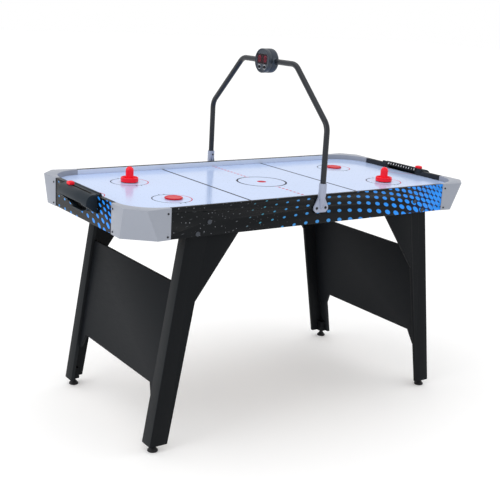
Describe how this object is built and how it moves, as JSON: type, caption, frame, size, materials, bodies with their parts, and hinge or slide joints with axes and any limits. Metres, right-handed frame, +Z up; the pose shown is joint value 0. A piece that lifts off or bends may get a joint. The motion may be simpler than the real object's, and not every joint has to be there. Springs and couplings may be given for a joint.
{
  "type": "air hockey table",
  "caption": "Air hockey table with a fan-fed playing surface, splayed L-section legs, end panels, goals with sliding score markers and an overhead arch with an electronic scorer.",
  "frame": {"origin": "on the floor under the middle of the table", "axes": "+X along the table towards the right-hand goal, +Y across the table towards the power panel's side, +Z up; the scorer's display faces -X"},
  "size_m": [1.4462, 0.7072, 1.231],
  "materials": {
    "apron_print": "satin printed laminate on fibreboard",
    "side_rail_white": "gloss",
    "end_rail_black": "satin",
    "playfield_laminate": "gloss printed laminate on fibreboard",
    "hardboard": "raw",
    "raw_fibreboard": "raw",
    "cap_grey": "satin",
    "dark_screw": "black oxide",
    "hood_black": "satin",
    "score_strip": "gloss",
    "tube_black": "powder coat",
    "bracket_grey": "satin",
    "scorer_case": "satin",
    "scorer_lens": "gloss tinted",
    "led_red": "matte",
    "circuit_board": "satin",
    "leg_laminate": "matte charcoal laminate on fibreboard",
    "bolt_zinc": "zinc",
    "foot_black": "satin",
    "blower_plastic": "matte",
    "motor_steel": "zinc",
    "red_plastic": "gloss",
    "felt": "felt"
  },
  "bodies": {
    "table": {"side_apron_front": "apron_print", "side_apron_rear": "apron_print", "end_apron_left": "apron_print", "end_apron_right": "apron_print", "side_rails": "side_rail_white", "end_rails": "end_rail_black", "playfield": "playfield_laminate", "plenum_floor": "hardboard", "plenum_side_battens": "raw_fibreboard", "plenum_cross_battens": "raw_fibreboard", "corner_braces": "raw_fibreboard", "corner_cap_front_left": "cap_grey", "corner_cap_front_right": "cap_grey", "corner_cap_rear_left": "cap_grey", "corner_cap_rear_right": "cap_grey", "cap_screws": "dark_screw", "goal_hood_left": "hood_black", "goal_hood_right": "hood_black", "score_strips": "score_strip", "hood_screws": "dark_screw", "arch_tube_front": "tube_black", "arch_tube_rear": "tube_black", "arch_bracket_front": "bracket_grey", "arch_bracket_rear": "bracket_grey", "arch_screws": "dark_screw", "scorer_front_shell": "scorer_case", "scorer_rear_shell": "scorer_case", "scorer_lens": "scorer_lens", "scorer_digits": "led_red", "scorer_board": "circuit_board", "leg_gussets": "leg_laminate", "foot_blocks": "leg_laminate", "leg_bolts": "bolt_zinc", "leg_side_front_left": "leg_laminate", "leg_side_front_right": "leg_laminate", "leg_side_rear_left": "leg_laminate", "leg_side_rear_right": "leg_laminate", "leg_ends_left": "leg_laminate", "leg_ends_right": "leg_laminate", "end_panel_left": "leg_laminate", "end_panel_right": "leg_laminate", "blower_housing": "blower_plastic", "blower_motor": "motor_steel", "power_panel": "blower_plastic"},
    "score_marker_left": {"score_slider_left": "red_plastic"},
    "score_marker_right": {"score_slider_right": "red_plastic"},
    "button_front": {"score_button_front": "scorer_case"},
    "button_rear": {"score_button_rear": "scorer_case"},
    "impeller": {"blower_impeller": "blower_plastic"},
    "rocker": {"power_rocker": "blower_plastic"},
    "striker_left": {"pusher_left": "red_plastic", "pusher_felt_left": "felt"},
    "striker_right": {"pusher_right": "red_plastic", "pusher_felt_right": "felt"},
    "disc_left": {"puck_left": "red_plastic"},
    "disc_right": {"puck_right": "red_plastic"},
    "foot_front_left": {"leveller_front_left": "foot_black"},
    "foot_front_right": {"leveller_front_right": "foot_black"},
    "foot_rear_left": {"leveller_rear_left": "foot_black"},
    "foot_rear_right": {"leveller_rear_right": "foot_black"}
  },
  "joints": [
    {"name": "score_left_slide", "type": "slide", "parent": "table", "child": "score_marker_left", "axis": [0, -1, 0], "range_m": [0, 0.144]},
    {"name": "score_right_slide", "type": "slide", "parent": "table", "child": "score_marker_right", "axis": [0, 1, 0], "range_m": [0, 0.144]},
    {"name": "button_front_press", "type": "slide", "parent": "table", "child": "button_front", "axis": [1, 0, 0], "range_m": [0, 0.0015], "stiffness_N_per_m": 300, "springref_m": -0.001},
    {"name": "button_rear_press", "type": "slide", "parent": "table", "child": "button_rear", "axis": [1, 0, 0], "range_m": [0, 0.0015], "stiffness_N_per_m": 300, "springref_m": -0.001},
    {"name": "impeller_spin", "type": "hinge", "parent": "table", "child": "impeller", "pos_m": [0, 0, 0.73], "axis": [0, 0, 1], "continuous": true},
    {"name": "rocker_tilt", "type": "hinge", "parent": "table", "child": "rocker", "pos_m": [0.237, 0.334, 0.72175], "axis": [0, 0, 1], "range_deg": [-16, 0]},
    {"name": "striker_left_slide", "type": "slide", "parent": "table", "child": "striker_left", "axis": [1, 0, 0], "range_m": [-0.19, 0.412]},
    {"name": "striker_right_slide", "type": "slide", "parent": "table", "child": "striker_right", "axis": [-1, 0, 0], "range_m": [-0.19, 0.412]},
    {"name": "disc_left_slide", "type": "slide", "parent": "table", "child": "disc_left", "axis": [1, 0, 0], "range_m": [-0.198, 0.405]},
    {"name": "disc_right_slide", "type": "slide", "parent": "table", "child": "disc_right", "axis": [-1, 0, 0], "range_m": [-0.186, 0.415]},
    {"name": "foot_front_left_screw", "type": "slide", "parent": "table", "child": "foot_front_left", "axis": [0, 0, -1], "range_m": [-0.0045, 0.012]},
    {"name": "foot_front_right_screw", "type": "slide", "parent": "table", "child": "foot_front_right", "axis": [0, 0, -1], "range_m": [-0.0045, 0.012]},
    {"name": "foot_rear_left_screw", "type": "slide", "parent": "table", "child": "foot_rear_left", "axis": [0, 0, -1], "range_m": [-0.0045, 0.012]},
    {"name": "foot_rear_right_screw", "type": "slide", "parent": "table", "child": "foot_rear_right", "axis": [0, 0, -1], "range_m": [-0.0045, 0.012]}
  ]
}
